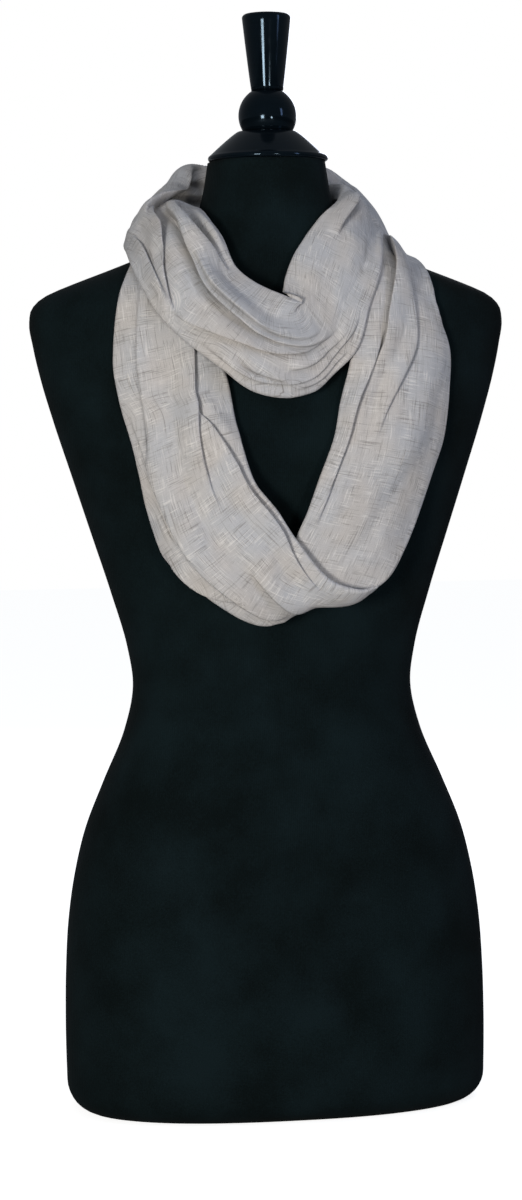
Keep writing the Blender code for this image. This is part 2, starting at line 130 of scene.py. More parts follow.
def formRings(form, levels):
    table = np.array([ring[1:] for ring in form["rings"]], float)
    sizes = smoothRows([ring.height for ring in form["rings"]], table, levels)
    low = np.clip(1 - np.asarray(levels) / form["baseRounding"], 0, 1)
    insets = form["baseRounding"] * (1 - np.sqrt(1 - low**2))
    turn = np.linspace(0, 2 * math.pi, form["around"], endpoint=False)
    power = 2 / form["squareness"]
    across = np.sign(np.cos(turn)) * np.abs(np.cos(turn)) ** power
    along = np.sign(np.sin(turn)) * np.abs(np.sin(turn)) ** power
    rings = []
    for height, (halfWidth, front, back), inset in zip(levels, sizes, insets):
        x = across * (halfWidth - inset)
        y = along * np.where(along < 0, front - inset, back - inset)
        fromApex = ((np.abs(x) - form["bustApart"]) / form["bustWidthSpread"]) ** 2
        fromApex += ((height - form["bustHeight"]) / form["bustHeightSpread"]) ** 2
        y -= form["bustDepth"] * np.exp(-fromApex) * np.maximum(0, -along)
        rings.append(np.stack([x, y, np.full_like(x, height)], axis=1))
    return np.array(rings)


def ringSkin(rings):
    count, around = rings.shape[:2]
    faces = [
        (i * around + j, i * around + (j + 1) % around,
         (i + 1) * around + (j + 1) % around, (i + 1) * around + j)
        for i in range(count - 1) for j in range(around)
    ]
    faces.append(tuple(reversed(range(around))))
    faces.append(tuple((count - 1) * around + j for j in range(around)))
    return rings.reshape(-1, 3), faces


def makeDressForm(form, material):
    lowTurn = np.linspace(0, math.pi / 2, form["baseRings"])
    levels = list(form["baseRounding"] * (1 - np.cos(lowTurn)))
    top = form["rings"][-1].height
    count = int((top - levels[-1]) / form["ringSpacing"])
    levels += list(np.linspace(levels[-1], top, count + 1)[1:])
    points, faces = ringSkin(formRings(form, levels))
    mesh = smoothMesh("dressFormJersey", points, faces)
    for flatEnd in (len(faces) - 2, len(faces) - 1):
        mesh.polygons[flatEnd].use_smooth = False
    placePiece(mesh, material, "dress_form")
    print("dress form:", len(mesh.polygons), "faces")
    return points, faces


# the turned neck cap: a domed disc, a ball and a finial that widens upwards

neckCap = {
    "centreY": -15.0, "neckTop": 819.0, "gap": 0.3, "steps": 96,
    "discRadius": 51.0, "discRim": 5.0, "discTop": 844.3, "discTopRadius": 26.0,
    "domeInset": 1.2, "domePower": 1.12, "domeSteps": 18,
    "rimInset": 1.3, "rimBulge": 1.9, "rimDrop": 0.2, "rimUnder": 2.6,
    "rimFrom": math.pi / 2 - 0.35, "rimTo": -math.pi / 2 + 0.25, "rimSteps": 9,
    "ballCentre": 858.0, "ballRadius": 25.0, "ballTop": 879.0, "ballSteps": 34,
    "finialTop": 945.0, "finialFoot": 13.6, "finialHead": 21.0, "finialFlare": 0.9,
    "finialSteps": 20, "edgeRound": 3.5, "edgeDrop": 0.6, "edgeFrom": 0.1, "edgeSteps": 9,
    "dish": ((0, 1.6), (9, 1.3), (14, 0.5)),  # radius and depth of the hollow on top
}


def discProfile(cap):
    foot = cap["neckTop"] + cap["gap"]
    rimTop = foot + cap["discRim"]
    domeFoot = cap["discRadius"] - cap["domeInset"]
    dome = [
        (cap["discTopRadius"] + (domeFoot - cap["discTopRadius"]) * share,
         cap["discTop"] - (cap["discTop"] - rimTop) * share ** cap["domePower"])
        for share in np.linspace(0, 1, cap["domeSteps"])
    ]
    middle, half = (foot + rimTop) / 2 - cap["rimDrop"], (rimTop - foot) / 2
    rim = [
        (cap["discRadius"] - cap["rimInset"] + cap["rimBulge"] * math.cos(a), middle + half * math.sin(a))
        for a in np.linspace(cap["rimFrom"], cap["rimTo"], cap["rimSteps"])
    ]
    return [(0, cap["discTop"])] + dome + rim + [(cap["discRadius"] - cap["rimUnder"], foot), (0, foot)]


def ballProfile(cap):
    foot = cap["discTop"] + cap["gap"]
    high = math.asin((cap["ballTop"] - cap["ballCentre"]) / cap["ballRadius"])
    low = math.asin((foot - cap["ballCentre"]) / cap["ballRadius"])
    arc = [
        (cap["ballRadius"] * math.cos(a), cap["ballCentre"] + cap["ballRadius"] * math.sin(a))
        for a in np.linspace(high, low, cap["ballSteps"])
    ]
    return [(0, cap["ballTop"])] + arc + [(0, foot)]


def finialProfile(cap):
    foot, edgeRound = cap["ballTop"] + cap["gap"], cap["edgeRound"]
    edge = [
        (cap["finialHead"] - edgeRound * (1 - math.sin(a)),
         cap["finialTop"] - cap["edgeDrop"] - edgeRound * (1 - math.cos(a)))
        for a in np.linspace(cap["edgeFrom"], math.pi / 2, cap["edgeSteps"])
    ]
    top, flare = edge[-1][1], cap["finialHead"] - cap["finialFoot"]
    side = [
        (cap["finialFoot"] + flare * (1 - share) ** cap["finialFlare"], top - (top - foot) * share)
        for share in np.linspace(1 / cap["finialSteps"], 1.0, cap["finialSteps"])
    ]
    dish = [(radius, cap["finialTop"] - depth) for radius, depth in cap["dish"]]
    return dish + edge + side + [(0, foot)]


def turnedPiece(name, profile, cap, material, node):
    around = cap["steps"]
    turn = np.linspace(0, 2 * math.pi, around, endpoint=False)
    rings = [
        np.stack([radius * np.cos(turn), cap["centreY"] + radius * np.sin(turn),
                  np.full(around, height)], axis=1)
        for radius, height in profile[1:-1]
    ]
    ends = [[0, cap["centreY"], height] for _, height in (profile[0], profile[-1])]
    points = np.concatenate(rings + [ends])
    count, top = len(rings), len(rings) * around
    faces = [
        (i * around + j, (i + 1) * around + j, (i + 1) * around + (j + 1) % around,
         i * around + (j + 1) % around)
        for i in range(count - 1) for j in range(around)
    ]
    faces += [(top, j, (j + 1) % around) for j in range(around)]
    last = (count - 1) * around
    faces += [(top + 1, last + (j + 1) % around, last + j) for j in range(around)]
    placePiece(smoothMesh(name, points, faces), material, node)
    print(name, len(faces), "faces")


# the scarf, one loop of cloth wound twice

scarf = {
    # number, inner edge x y z, outer edge x y z, crown
    "sections": (
        (0, 69, -130, 457, 68, -124, 455, 0), (1, 51, -138, 453, 49, -112, 448, 6),
        (2, 27, -140, 462, 20, -110, 443, 10), (3, 2, -136, 493, -18, -116, 427, 8),
        (4, -14, -134, 519, -57, -122, 442, 10), (5, -33, -129, 544, -100, -112, 476, 12),
        (6, -41, -122, 567, -117, -97, 520, 14), (7, -48, -118, 596, -126, -95, 567, 15),
        (8, -54, -111, 632, -140, -84, 633, 10), (9, -62, -101, 664, -141, -80, 666, 8),
        (10, -68, -88, 700, -134, -70, 704, 6), (11, -72, -68, 735, -121, -44, 731, 6),
        (12, -72, -32, 760, -118, -8, 743, 6), (13, -69, 4, 770, -113, 20, 745, 5),
        (14, -58, 22, 773, -88, 44, 746, 3), (15, -33, 38, 775, -51, 70, 744, 3),
        (16, 0, 46, 777, 0, 80, 740, 3), (17, 33, 40, 780, 56, 74, 737, 4),
        (18, 55, 20, 784, 86, 47, 740, 8), (19, 60, 2, 788, 92, 6, 757, 12),
        (20, 60, -24, 786, 93, -17, 751, 12), (21, 45, -58, 775, 86, -49, 741, 12),
        (22, 28, -74, 757, 79, -78, 711, 11), (23, 13, -88, 736, 68, -93, 684, 11),
        (24, 5, -98, 718, 58, -104, 658, 10), (25, 1, -107, 706, 40, -114, 639, 10),
        (26, -3, -112, 700, 21, -124, 623, 9), (27, -10, -113, 700, -6, -131, 618, 9),
        (28, -17, -110, 704, -34, -133, 624, 9), (29, -27, -105, 710, -62, -129, 645, 10),
        (30, -42, -94, 724, -99, -108, 679, 11), (31, -52, -77, 749, -114, -90, 704, 11),
        (32, -59, -58, 765, -125, -54, 736, 12), (33, -62, -32, 778, -125, -10, 750, 14),
        (34, -61, -1, 778, -118, 22, 746, 12), (35, -54, 28, 764, -102, 58, 742, 8),
        (36, -40, 46, 760, -60, 84, 738, 6), (37, 0, 54, 760, 0, 96, 738, 6),
        (38, 40, 48, 764, 62, 84, 739, 6), (39, 72, 34, 768, 108, 56, 737, 5),
        (40, 84, 4, 764, 121, 18, 738, 5), (41, 77, -43, 753, 124, -26, 729, 5),
        (42, 69, -84, 718, 130, -67, 705, 7), (43, 59, -104, 684, 135, -79, 682, 9),
        (44, 55, -113, 647, 142, -84, 651, 10), (45, 45, -117, 612, 140, -87, 614, 13),
        (46, 38, -121, 582, 134, -93, 579, 14), (47, 25, -125, 549, 122, -97, 547, 13),
        (48, 14, -127, 519, 102, -105, 498, 9), (49, 6, -125, 500, 82, -117, 468, 4),
        (50, -2, -124, 478, 58, -122, 450, 2),
    ),
    # the stretches that show, each for one node of the model
    "stretches": (
        ("scarfDropRight", "scarf_drop_right", 0, 13),
        ("scarfNapeInner", "scarf_nape_inner", 13, 18.5),
        ("scarfCowl", "scarf_cowl", 18.5, 33.5),
        ("scarfNapeOuter", "scarf_nape_outer", 33.5, 39.5),
        ("scarfDropLeft", "scarf_drop_left", 39.5, 50),
    ),
    # upper layer from, to, over lower layer from, to
    "overlaps": ((28, 35.5, 6, 13.2), (34, 38.8, 12, 18.3), (18.8, 25, 39.3, 46)),
    "stationsPerSection": 14, "columns": 112,
    "wall": 0.8, "formGap": 0.8, "clothGap": 0.5,
    "crestPower": 1.3, "crestFade": 0.3,
}

# the V at the neckline turns over itself: sections, mm and share of the width
neckline = {
    "section": 25.6, "reach": 2.4, "steepness": 1.8, "overlap": 30.0, "depth": 11.0, "sink": 11.0,
    "width": 0.38, "power": 2.1, "backwards": 0.1,
}

# Both edges roll under. The roll starts small at the tip of the loop, opens at the V and lies
# nearly flat where the inner edge is tucked in beside the neck.
hem = {
    "radius": 3.0, "turn": 165.0, "columns": 7, "tipShare": 0.25, "tipLength": 1.6, "openAtV": 0.6,
    "tuckedAt": 34.8, "tuckedReach": 1.3, "tuckedFlat": 0.88,
}

# how the cloth is pushed off the form and off the layer under it: grid, rounds, grid steps, mm
laying = {
    "rows": 201, "columns": 31, "rounds": 7, "spread": (1.5, 1.2), "hemRoom": 0.8,
    "formReach": 40.0, "clothReach": 32.0,
    "lastRounds": 2, "lastSpread": (1.5, 1.5), "lastFormReach": 20.0, "lastClothReach": 7.0,
    "outwardSpread": (2.0, 2.0),
}

# and how its pattern is laid flat, first on every few rows and columns
flattening = {"rowStep": 7, "columnStep": 5, "coarseRounds": 120, "fineRounds": 60, "haste": 1.6}

# where the collar stands: section, crest x y z, share of the width where the crest is
collarCrest = (
    (31.8, -113, -58, 743, 0.60), (32.4, -113, -40, 764, 0.56), (33.0, -108, -22, 778, 0.53),
    (33.5, -100, -6, 786, 0.52), (34.0, -93, 10, 794, 0.50), (34.5, -84, 24, 801, 0.49),
    (35.0, -73, 38, 808, 0.47), (35.5, -63, 50, 813, 0.46), (36.0, -53, 60, 816, 0.44),
    (37.0, -4, 76, 817, 0.42), (38.0, 46, 72, 820, 0.42), (38.4, 65, 66, 819, 0.42),
    (38.7, 77, 58, 810, 0.43), (39.0, 85, 48, 803, 0.44), (39.4, 90, 36, 797, 0.45),
    (39.7, 93, 24, 788, 0.46), (40.0, 95, 10, 776, 0.48), (40.4, 100, 0, 764, 0.48),
)
# and where the short turn rises over the other shoulder
shoulderCrest = (
    (17.6, 50, 44, 786, 0.45), (18.3, 60, 26, 800, 0.45), (19.0, 69, 8, 800, 0.45),
    (19.8, 75, -10, 794, 0.43), (20.6, 77, -30, 783, 0.42), (21.4, 70, -50, 766, 0.42),
)

# A fold's lip hangs to one side over its crease. Its path: section, share of the width,
# rise of the lip and how far it hangs over.
Fold = namedtuple("Fold", "lip spread path")
folds = {
    "collar lip": Fold("inner", 13, (
        (32.3, 0.60, 0, 0), (32.7, 0.52, 3, 3), (33.1, 0.42, 6, 5), (33.6, 0.32, 6, 6),
        (34.2, 0.29, 6, 5), (34.7, 0.32, 5, 4), (35.1, 0.37, 5, 3), (35.5, 0.41, 4, 3),
        (36.0, 0.43, 3, 2), (36.6, 0.44, 0, 0))),
    "collar inside fold": Fold("inner", 9, (
        (34.5, 0.28, 0, 0), (34.9, 0.255, 3, 2.5), (35.3, 0.235, 4.5, 3.5), (35.9, 0.205, 4, 3),
        (36.5, 0.18, 2, 1.5), (37.2, 0.17, 0, 0))),
    "collar inside crease": Fold("inner", 6, (
        (34.8, 0.36, 0, 0), (35.2, 0.335, 2, 1.5), (35.7, 0.31, 3, 2), (36.2, 0.28, 2, 1.5),
        (36.7, 0.27, 0, 0))),
    "cowl upright crease": Fold("inner", 11, (
        (33.1, 0.40, 0, 0), (32.8, 0.44, 5, 4), (32.2, 0.54, 6, 5), (31.6, 0.665, 6, 6),
        (31.1, 0.775, 5, 5), (30.5, 0.86, 3, 3), (30.0, 0.92, 0, 0))),
    "cowl left crease": Fold("inner", 9, (
        (32.4, 0.82, 0, 0), (31.8, 0.85, 3, 2.5), (31.2, 0.87, 3.5, 3), (30.7, 0.90, 2.5, 2),
        (30.2, 0.93, 0, 0))),
    "cowl main fold": Fold("outer", 18, (
        (33.3, 0.22, 0, 0), (32.5, 0.27, 4, 3), (31.5, 0.32, 6, 4.5), (30.6, 0.375, 7, 4.5),
        (29.6, 0.435, 6.5, 4), (28.6, 0.465, 5.5, 3.6), (27.6, 0.47, 4.2, 2.8), (26.6, 0.50, 3.2, 2.2),
        (25.9, 0.54, 2.2, 1.5), (25.3, 0.59, 1.5, 1), (24.8, 0.64, 0, 0))),
    "cowl upper line": Fold("outer", 14, (
        (31.2, 0.31, 0, 0), (30.6, 0.315, 2, 1.5), (29.8, 0.35, 3, 2), (29.0, 0.375, 3.6, 2.4),
        (28.0, 0.385, 3.2, 2.2), (27.0, 0.405, 2.5, 1.6), (26.2, 0.44, 2, 1.2), (25.6, 0.48, 1.5, 1),
        (25.1, 0.52, 0, 0))),
    "cowl neck strip": Fold("inner", 10, (
        (33.2, 0.17, 0, 0), (32.6, 0.22, 4, 1), (31.9, 0.245, 5, 1.5), (31.2, 0.23, 5.5, 2),
        (30.6, 0.18, 4, 2), (30.0, 0.10, 0, 0))),
    "cowl lower fold": Fold("outer", 14, (
        (30.1, 0.88, 0, 0), (29.8, 0.85, 3, 2), (29.4, 0.77, 4.5, 2.8), (28.9, 0.69, 4.5, 3),
        (28.2, 0.62, 4.2, 2.8), (27.4, 0.595, 3.4, 2.3), (26.6, 0.59, 2.6, 1.8), (25.8, 0.60, 2.5, 1.5),
        (25.0, 0.64, 1.5, 1), (24.2, 0.69, 0, 0))),
    "cowl hem fold": Fold("outer", 9, (
        (29.4, 0.92, 0, 0), (28.8, 0.92, 2.5, 1.5), (28.0, 0.90, 3, 2), (27.2, 0.88, 2.8, 1.8),
        (26.4, 0.86, 2.8, 1.8), (25.6, 0.835, 2.8, 1.8), (24.8, 0.84, 2.4, 1.5), (24.0, 0.87, 1.5, 1),
        (23.2, 0.92, 0, 0))),
    "cowl short fold": Fold("outer", 9, (
        (27.0, 0.745, 0, 0), (26.5, 0.735, 2.5, 1.5), (25.9, 0.72, 3.5, 2), (25.2, 0.735, 2.5, 1.5),
        (24.4, 0.78, 1, 1), (23.8, 0.82, 0, 0))),
    "cowl edge pleat": Fold("outer", 6, (
        (26.9, 0.94, 0, 0), (26.3, 0.93, 1.5, 1), (25.6, 0.92, 2, 1.2), (24.9, 0.925, 1.5, 1),
        (24.2, 0.95, 0, 0))),
    "cowl lap pleat": Fold("outer", 7, (
        (28.6, 0.83, 0, 0), (28.2, 0.82, 2.5, 2), (27.7, 0.82, 3, 2), (27.2, 0.83, 2, 1.5),
        (26.9, 0.85, 0, 0))),
    "right sheet tuck": Fold("outer", 12, (
        (20.05, 0.30, 0, 0), (20.35, 0.28, 2, 1.5), (20.65, 0.255, 6, 4.5), (20.95, 0.24, 7, 5),
        (21.3, 0.235, 4, 2), (21.8, 0.245, 0, 0))),
    "right drop soft crease": Fold("outer", 16, (
        (11.2, 0.72, 0, 0), (10.0, 0.73, 2.5, 1.5), (9.0, 0.73, 3, 2), (8.0, 0.76, 3, 1.5),
        (7.2, 0.80, 1.5, 0.5), (6.6, 0.84, 0, 0))),
    "right drop outer fold": Fold("outer", 18, (
        (7.5, 0.94, 0, 0), (7.0, 0.88, 2.5, 2.5), (6.5, 0.81, 5, 4), (5.8, 0.735, 7, 6),
        (5.2, 0.72, 8, 6.5), (4.8, 0.735, 8, 6.5), (4.5, 0.76, 7.5, 6.5), (4.0, 0.80, 6.5, 5.5),
        (3.6, 0.825, 5, 4.5), (3.2, 0.86, 3, 3), (2.7, 0.90, 0, 0))),
    "right drop upright fold": Fold("inner", 15, (
        (11.0, 0.16, 0, 0), (10.0, 0.20, 3, 2.5), (9.0, 0.25, 4.5, 3.5), (8.2, 0.30, 4.5, 3.5),
        (7.5, 0.36, 5, 4), (7.0, 0.38, 4, 3), (6.5, 0.38, 3, 2.2), (6.0, 0.37, 2.5, 2),
        (5.5, 0.36, 1.2, 1), (4.9, 0.36, 0, 0))),
    "right drop inner fold": Fold("inner", 14, (
        (7.7, 0.37, 0, 0), (7.4, 0.32, 3, 2.5), (7.1, 0.26, 4, 3.2), (6.7, 0.195, 4.5, 3.2),
        (6.0, 0.13, 5, 3.6), (5.2, 0.11, 5, 4), (4.5, 0.115, 5, 4), (4.0, 0.125, 5, 4),
        (3.5, 0.145, 4.5, 4), (3.0, 0.19, 3, 3), (2.5, 0.24, 1.5, 1.5), (2.0, 0.30, 0, 0))),
    "right drop hem fold": Fold("outer", 8, (
        (5.3, 0.97, 0, 0), (4.9, 0.955, 2.5, 3), (4.5, 0.93, 4, 4.5), (4.1, 0.90, 3, 3),
        (3.7, 0.885, 0, 0))),
    "right drop under fold": Fold("outer", 11, (
        (4.0, 0.56, 0, 0), (3.5, 0.57, 3.5, 3.5), (3.0, 0.61, 5, 4.5), (2.6, 0.70, 4, 3.5),
        (2.1, 0.80, 0, 0))),
    "left drop cavity": Fold("inner", 14, (
        (40.3, 0.50, 0, 0), (40.8, 0.53, 5, 4), (41.4, 0.53, 7, 7), (42.1, 0.47, 6, 6),
        (42.9, 0.39, 4, 4), (43.6, 0.31, 4, 3), (44.1, 0.22, 2, 1), (44.6, 0.15, 0, 0))),
    "left drop inner roll": Fold("outer", 9, (
        (43.4, 0.24, 0, 0), (43.9, 0.16, 3, 2.5), (44.6, 0.09, 4, 4), (45.5, 0.06, 4, 3.5),
        (46.4, 0.055, 3, 3), (47.4, 0.06, 2, 2), (48.4, 0.06, 0, 0))),
    "left drop long crease": Fold("outer", 16, (
        (41.0, 0.56, 0, 0), (42.0, 0.58, 2, 1), (43.0, 0.61, 2.5, 1.5), (43.8, 0.55, 3, 2),
        (44.5, 0.43, 2.5, 1.8), (45.2, 0.35, 1.5, 1), (46.2, 0.28, 0, 0))),
    "nape outer ridge low": Fold("outer", 14, (
        (33.8, 0.80, 0, 0), (34.6, 0.76, 4, 3), (35.6, 0.72, 5, 4), (36.6, 0.70, 5, 4),
        (37.6, 0.68, 5, 4), (38.6, 0.70, 4, 3), (39.6, 0.74, 2, 1), (40.4, 0.78, 0, 0))),
    "nape outer ridge high": Fold("outer", 12, (
        (34.6, 0.58, 0, 0), (35.4, 0.56, 3, 2), (36.4, 0.53, 4, 3.5), (37.2, 0.52, 4, 3),
        (38.2, 0.54, 3, 2), (39.0, 0.56, 0, 0))),
    "nape outer hem": Fold("outer", 9, (
        (34.4, 0.92, 0, 0), (35.4, 0.90, 3, 3), (36.8, 0.88, 3.5, 3), (38.0, 0.89, 3, 3),
        (39.2, 0.92, 0, 0))),
}

# One fold across the cloth, in mm from the lip: it drops into the crease over "under" and the
# cloth comes back up over "recovery".
foldShape = {
    "riseGain": 1.15, "hangGain": 1.2, "climbPower": 1.6, "under": 3.7, "recovery": 9.0,
    "troughShare": 0.4, "leastTrough": 0.5, "tuckShare": 0.45,
    # these and the sharpness keys set the painted crease shade: where and how wide it lies past the lip,
    # the rise at which it is full, and how dark it is
    "creaseAt": 2.6, "creaseWidth": 1.7, "fullCrease": 3.2,
    "sharpness": 0.78, "sharpnessSwing": 0.22, "swingAlong": 2.9, "swingByFold": 1.7,
}

# soft troughs (below 0) and ridges: section, share, rise, half width
softForms = {
    "right sheet trough": (
        (21.0, 0.28, 0, 10), (22.0, 0.33, -3, 11), (23.2, 0.38, -3, 12), (24.4, 0.42, 0, 10)),
    "right sheet belly": (
        (21.2, 0.62, 0, 14), (22.4, 0.62, 3, 15), (23.6, 0.62, 2.5, 15), (24.8, 0.60, 0, 12)),
    "cowl left panel": (
        (32.6, 0.40, 0, 10), (31.6, 0.50, 2.5, 11), (30.6, 0.60, 2.5, 12), (29.6, 0.60, 0, 10)),
    "cowl lap crest": (
        (29.6, 0.90, 0, 7), (28.8, 0.78, 3, 8), (27.8, 0.70, 3.5, 8), (26.8, 0.66, 3, 7),
        (25.8, 0.68, 0, 7)),
    "cowl strip roll": (
        (32.8, 0.05, 0, 4), (31.9, 0.06, 6, 4.5), (31.1, 0.05, 6, 4.5), (30.4, 0.03, 0, 4)),
    "cowl strip gap": (
        (32.4, 0.16, 0, 3), (31.9, 0.165, -6, 3.5), (31.3, 0.15, -7, 3.5), (30.8, 0.12, 0, 3)),
    "cowl small pit": (
        (28.7, 0.86, 0, 3), (28.2, 0.84, -3.5, 3.5), (27.7, 0.83, -3, 3), (27.3, 0.83, 0, 3)),
    "cowl upright pit": ((31.7, 0.70, 0, 2.5), (31.4, 0.73, -4, 3), (31.1, 0.78, 0, 2.5)),
    "cowl shoulder nick": ((33.6, 0.80, 0, 4), (33.1, 0.79, -3, 4), (32.6, 0.80, 0, 4)),
    "right drop middle": (
        (9.6, 0.50, 0, 12), (8.2, 0.55, -2, 13), (6.8, 0.58, -2.5, 12), (5.4, 0.52, -2, 12),
        (4.4, 0.46, 0, 10)),
    "right drop crest": ((8.2, 0.40, 0, 7), (7.4, 0.20, 2.5, 7), (6.6, 0.05, 2, 7), (6.0, 0.02, 0, 7)),
    "right drop pit": ((5.0, 0.90, 0, 3), (4.6, 0.88, -4, 3), (4.3, 0.87, 0, 3)),
    "right drop lap": ((3.6, 0.35, 0, 9), (2.8, 0.34, -2.5, 8), (2.0, 0.36, -2, 7), (1.2, 0.40, 0, 7)),
    "left drop soft line": (
        (43.8, 0.30, 0, 7), (44.6, 0.26, -2.5, 6), (45.6, 0.22, -2, 6), (46.6, 0.20, 0, 6)),
    "left drop middle": (
        (42.4, 0.80, 0, 12), (43.8, 0.78, 2, 14), (45.4, 0.68, 2.5, 15), (47.0, 0.60, 0, 14)),
    "left drop foot": (
        (46.6, 0.70, 0, 10), (47.6, 0.62, -2, 9), (48.6, 0.55, -2, 9), (49.4, 0.5, 0, 8)),
    "collar inside hollow": (
        (34.4, 0.20, 0, 6), (35.0, 0.18, -4, 6), (35.8, 0.15, -4, 6), (36.6, 0.13, 0, 6)),
    "collar inside low": (
        (35.2, 0.11, 0, 5), (35.9, 0.10, 2.5, 5), (36.8, 0.10, 2.5, 5), (37.8, 0.12, 2.5, 5),
        (39.2, 0.14, 0, 5)),
}
leastHalfWidth = 2

# the grid's columns crowd together at each crease and at both edges, in mm
crowding = {
    "samples": 401, "atCrease": 3.6, "creasePlace": 1.8, "creaseWidth": 3.4, "fullRise": 5,
    "atEdge": 0.8, "edgeWidth": 4,
}

# unevenness of the cloth: waves in a metre along and across, where in the noise, height in mm
Ripple = namedtuple("Ripple", "along across layer height")
broadRipple, longRipple = Ripple(9, 28, 3.1, 1.5), Ripple(16, 95, 7.7, 0.9)
crossRipple, crossBend = Ripple(62, 30, 1.3, 0.45), 4


def pathValues(path, rows):
    ordered = sorted(path)
    knots = [step[0] for step in ordered]
    values = smoothRows(knots, [step[1:] for step in ordered], rows)
    return values, between(rows, knots[0], knots[-1])[:, None]


def sectionKnots(sections):
    middles = np.array([[(a + b) / 2 for a, b in zip(s[1:4], s[4:7])] for s in sections])
    steps = np.linalg.norm(np.diff(middles, axis=0), axis=1) ** 0.5
    return np.concatenate([[0], np.cumsum(steps)])


def bowed(crown, share):
    return crown[:, None] * 4 * share * (1 - share)


def baseFace(rows, shares):
    sections = scarf["sections"]
    knots = sectionKnots(sections)
    at = np.interp(rows, range(len(sections)), knots)
    edges = smoothRows(knots, [section[1:] for section in sections], at)
    inner, outer, crown = edges[:, 0:3], edges[:, 3:6], edges[:, 6]
    chord = outer - inner
    along = np.gradient((inner + outer) / 2, axis=0)
    outward = unitOf(np.cross(along, chord))
    face = inner[:, None] + chord[:, None] * shares[..., None]
    face = face + outward[:, None] * bowed(crown, shares)[..., None]
    for table in (collarCrest, shoulderCrest):
        starts = [row[0] for row in table]
        crest = smoothRows(starts, [row[1:] for row in table], rows)
        weight = eased(rows - starts[0]) * eased(starts[-1] + scarf["crestFade"] - rows)
        share = crest[:, 3:4]
        power = math.log(0.5) / np.log(share)
        bell = np.sin(math.pi * np.clip(shares, 0, 1) ** power) ** scarf["crestPower"]
        there = inner + chord * share + outward * bowed(crown, share)
        offset = (crest[:, 0:3] - there) * weight[:, None]
        face = face + offset[:, None] * bell[..., None]
    fromV = (rows - neckline["section"]) / neckline["reach"]
    sway = (np.tanh(neckline["steepness"] * fromV) * np.exp(-fromV ** 2))[:, None]
    pull = sway * np.clip(1 - shares / neckline["width"], 0, 1) ** neckline["power"]
    face[..., 0] += neckline["overlap"] * np.where(pull > 0, pull, neckline["backwards"] * pull)
    face[..., 1] -= neckline["depth"] * pull
    face[..., 2] -= neckline["sink"] * np.maximum(pull, 0)
    return face


def acrossFold(u, before, drop, recover, top, foot):
    after = np.where(u <= foldShape["under"], top - (top + foot) * drop, -foot * recover)
    return np.where(u <= 0, top * before, after)


def sideOf(fold):
    return 1.0 if fold.lip == "outer" else -1.0


def foldFields(rows, shares, width):
    shape = foldShape
    rises, drifts, paintedCreaseShade = (np.zeros_like(shares) for _ in range(3))
    for number, fold in enumerate(folds.values()):
        values, inside = pathValues(fold.path, rows)
        rise = np.clip(values[:, 1:2], 0, None) * inside * shape["riseGain"]
        hang = np.clip(values[:, 2:3], 0, None) * inside * shape["hangGain"]
        u = (shares - values[:, 0:1]) * width * sideOf(fold)
        climb = np.clip(1 + u / fold.spread, 0, 1)
        drop = eased(u / shape["under"])
        recover = 1 - eased((u - shape["under"]) / shape["recovery"])
        trough = shape["troughShare"] * rise + shape["leastTrough"] * np.minimum(rise, 1)
        climbing = np.sin(math.pi / 2 * climb) ** shape["climbPower"]
        rises += acrossFold(u, climbing, drop, recover, rise, trough)
        drifts += sideOf(fold) * acrossFold(u, climb ** 2, drop, recover, hang, shape["tuckShare"] * hang)
        # the painted crease shade is not equally dark along a crease's length
        swing = np.sin(shape["swingAlong"] * rows[:, None] + shape["swingByFold"] * number)
        sharpness = shape["sharpness"] + shape["sharpnessSwing"] * swing
        depth = np.minimum(rise / shape["fullCrease"], 1) * sharpness
        paintedCreaseShade += depth * np.exp(-((u - shape["creaseAt"]) / shape["creaseWidth"]) ** 2)
    for path in softForms.values():
        values, inside = pathValues(path, rows)
        u = (shares - values[:, 0:1]) * width / np.maximum(values[:, 2:3], leastHalfWidth)
        rises += values[:, 1:2] * inside * np.exp(-u ** 2)
    return rises, drifts, np.minimum(paintedCreaseShade, 1)


def columnShares(rows, width):
    fine = np.linspace(0, 1, crowding["samples"])
    density = np.ones((len(rows), len(fine)))
    for fold in folds.values():
        values, inside = pathValues(fold.path, rows)
        strength = np.clip(values[:, 1:2], 0, crowding["fullRise"]) / crowding["fullRise"] * inside
        u = (fine[None] - values[:, 0:1]) * width * sideOf(fold) - crowding["creasePlace"]
        density += crowding["atCrease"] * strength * np.exp(-(u / crowding["creaseWidth"]) ** 2)
    nearEdges = sum(np.exp(-(share * width / crowding["edgeWidth"]) ** 2) for share in (fine, 1 - fine))
    density += crowding["atEdge"] * nearEdges
    total = np.cumsum(density, axis=1)
    total = (total - total[:, :1]) / (total[:, -1:] - total[:, :1])
    wanted = np.linspace(0, 1, scarf["columns"])
    return np.array([np.interp(wanted, row, fine) for row in total])


def treeOf(grid):
    rows, columns = grid.shape[:2]
    faces = [
        (i * columns + j, (i + 1) * columns + j, (i + 1) * columns + j + 1, i * columns + j + 1)
        for i in range(rows - 1) for j in range(columns - 1)
    ]
    return BVHTree.FromPolygons([tuple(p) for p in grid.reshape(-1, 3)], faces)


def pushOff(grid, tree, lift, reach):
    push = np.zeros_like(grid)
    for place in np.ndindex(grid.shape[:2]):
        near, normal, _, _ = tree.find_nearest(tuple(grid[place]), reach)
        if near is None:
            continue
        short = lift - float(np.dot(grid[place] - np.array(near), normal))
        if short > 0:
            push[place] = np.array(normal) * short
    return push


def softened(field, alongBy, acrossBy):
    for axis, spread in ((0, alongBy), (1, acrossBy)):
        reach = int(3 * spread) + 1
        kernel = np.exp(-0.5 * (np.arange(-reach, reach + 1) / spread) ** 2)
        kernel /= kernel.sum()
        pad = [(0, 0)] * field.ndim
        pad[axis] = (reach, reach)
        padded = np.pad(field, pad, mode="edge")
        field = sum(
            weight * np.take(padded, range(k, k + field.shape[axis]), axis=axis)
            for k, weight in enumerate(kernel))
    return field


